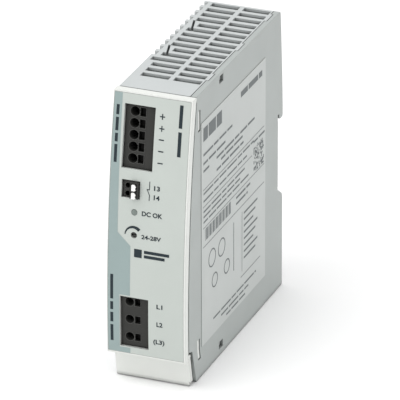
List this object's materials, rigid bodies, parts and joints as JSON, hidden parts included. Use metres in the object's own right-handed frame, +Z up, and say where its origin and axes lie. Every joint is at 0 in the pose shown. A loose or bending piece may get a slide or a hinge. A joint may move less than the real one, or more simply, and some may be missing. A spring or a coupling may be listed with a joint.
{
  "type": "din rail power supply",
  "caption": "Narrow plastic-cased power supply for a top-hat rail, with push-in terminals on the front, ventilation slots in its ends and a sprung foot latch.",
  "frame": {"origin": "centre of the bounding box's footprint, on the plane that the case stands on", "axes": "+Z up the front, +X to the right as seen from the front, +Y from the front towards the rail"},
  "size_m": [0.035, 0.115, 0.13],
  "materials": {
    "housing_plastic": "light grey moulded plastic, fine texture",
    "cover_plastic": "mid grey moulded plastic, satin",
    "latch_plastic": "grey moulded plastic",
    "bezel_plastic": "off-white moulded plastic, satin",
    "label_film": "printed film, pale green-grey with a teal stripe",
    "label_paper": "printed film, light grey",
    "terminal_plastic": "near-black moulded plastic",
    "release_black": "black moulded plastic",
    "release_white": "white moulded plastic",
    "lens_plastic": "smoky clear moulded plastic",
    "trimmer_blue": "blue moulded plastic",
    "trimmer_white": "grey moulded plastic",
    "circuit_board": "green solder mask on glass-fibre board",
    "insulation_film": "white insulating film",
    "spring_steel": "bright spring steel",
    "ceramic_tube": "white ceramic tube",
    "disc_blue": "blue dipped coating",
    "disc_green": "green dipped coating",
    "choke_copper": "enamelled copper wire on a ring core",
    "film_box": "yellow plastic box",
    "epoxy_black": "black moulded epoxy",
    "heatsink_metal": "plain aluminium sheet",
    "capacitor_sleeve": "dark shrink sleeve on an aluminium can",
    "ferrite": "dark sintered ferrite",
    "winding_tape": "yellow polyester tape over copper",
    "relay_case": "black moulded plastic",
    "lamp_body": "clear green lamp body"
  },
  "bodies": {
    "case": {"housing_shell": "housing_plastic", "side_cover": "cover_plastic", "front_cover": "bezel_plastic", "front_label": "label_film", "rating_label": "label_paper", "output_terminal_housing": "terminal_plastic", "input_terminal_housing": "terminal_plastic", "signal_terminal_housing": "terminal_plastic", "led_light_pipe": "lens_plastic", "trimmer_body": "trimmer_blue", "main_board": "circuit_board", "control_board": "circuit_board", "insulation_sheet": "insulation_film", "latch_spring": "spring_steel", "output_clamp_1": "spring_steel", "output_clamp_2": "spring_steel", "output_clamp_3": "spring_steel", "output_clamp_4": "spring_steel", "output_clamp_5": "spring_steel", "input_clamp_1": "spring_steel", "input_clamp_2": "spring_steel", "input_clamp_3": "spring_steel", "signal_clamp_1": "spring_steel", "signal_clamp_2": "spring_steel", "input_fuse_1": "ceramic_tube", "input_fuse_2": "ceramic_tube", "input_fuse_3": "ceramic_tube", "varistor": "disc_blue", "inrush_thermistor": "disc_green", "mains_choke": "choke_copper", "output_choke": "choke_copper", "filter_capacitor_1": "film_box", "filter_capacitor_2": "film_box", "bridge_rectifier": "epoxy_black", "power_transistor": "epoxy_black", "output_rectifier": "epoxy_black", "optocoupler": "epoxy_black", "primary_heatsink": "heatsink_metal", "output_heatsink": "heatsink_metal", "bulk_capacitor_1": "capacitor_sleeve", "bulk_capacitor_2": "capacitor_sleeve", "output_capacitor_1": "capacitor_sleeve", "output_capacitor_2": "capacitor_sleeve", "output_capacitor_3": "capacitor_sleeve", "transformer_core": "ferrite", "transformer_winding": "winding_tape", "signal_relay": "relay_case", "status_led": "lamp_body"},
    "output_release_1": {"output_release_1": "release_black"},
    "output_release_2": {"output_release_2": "release_black"},
    "output_release_3": {"output_release_3": "release_black"},
    "output_release_4": {"output_release_4": "release_black"},
    "output_release_5": {"output_release_5": "release_black"},
    "input_release_1": {"input_release_1": "release_black"},
    "input_release_2": {"input_release_2": "release_black"},
    "input_release_3": {"input_release_3": "release_black"},
    "signal_release_1": {"signal_release_1": "release_white"},
    "signal_release_2": {"signal_release_2": "release_white"},
    "trimmer_rotor": {"trimmer_rotor": "trimmer_white"},
    "din_foot_latch": {"din_foot_latch": "latch_plastic"}
  },
  "joints": [
    {"name": "output_push_1", "type": "slide", "parent": "case", "child": "output_release_1", "axis": [0, 0.986, -0.1665], "range_m": [0, 0.0016], "stiffness_N_per_m": 1000},
    {"name": "output_push_2", "type": "slide", "parent": "case", "child": "output_release_2", "axis": [0, 0.986, -0.1665], "range_m": [0, 0.0016], "stiffness_N_per_m": 1000},
    {"name": "output_push_3", "type": "slide", "parent": "case", "child": "output_release_3", "axis": [0, 0.986, -0.1665], "range_m": [0, 0.0016], "stiffness_N_per_m": 1000},
    {"name": "output_push_4", "type": "slide", "parent": "case", "child": "output_release_4", "axis": [0, 0.986, -0.1665], "range_m": [0, 0.0016], "stiffness_N_per_m": 1000},
    {"name": "output_push_5", "type": "slide", "parent": "case", "child": "output_release_5", "axis": [0, 0.986, -0.1665], "range_m": [0, 0.0016], "stiffness_N_per_m": 1000},
    {"name": "input_push_1", "type": "slide", "parent": "case", "child": "input_release_1", "axis": [0, 1, 0.0009], "range_m": [0, 0.0016], "stiffness_N_per_m": 1000},
    {"name": "input_push_2", "type": "slide", "parent": "case", "child": "input_release_2", "axis": [0, 1, 0.0009], "range_m": [0, 0.0016], "stiffness_N_per_m": 1000},
    {"name": "input_push_3", "type": "slide", "parent": "case", "child": "input_release_3", "axis": [0, 1, 0.0009], "range_m": [0, 0.0016], "stiffness_N_per_m": 1000},
    {"name": "signal_push_1", "type": "slide", "parent": "case", "child": "signal_release_1", "axis": [0, 0.9927, -0.1208], "range_m": [0, 0.0012], "stiffness_N_per_m": 600},
    {"name": "signal_push_2", "type": "slide", "parent": "case", "child": "signal_release_2", "axis": [0, 0.9927, -0.1208], "range_m": [0, 0.0012], "stiffness_N_per_m": 600},
    {"name": "trimmer_turn", "type": "hinge", "parent": "case", "child": "trimmer_rotor", "pos_m": [-0.0058, -0.0535, 0.0693], "axis": [0, 1, 0], "range_deg": [0, 240]},
    {"name": "foot_latch_pull", "type": "slide", "parent": "case", "child": "din_foot_latch", "axis": [0, 0, -1], "range_m": [0, 0.004], "stiffness_N_per_m": 1500, "springref_m": -0.001, "deforming": ["latch_spring"]}
  ]
}
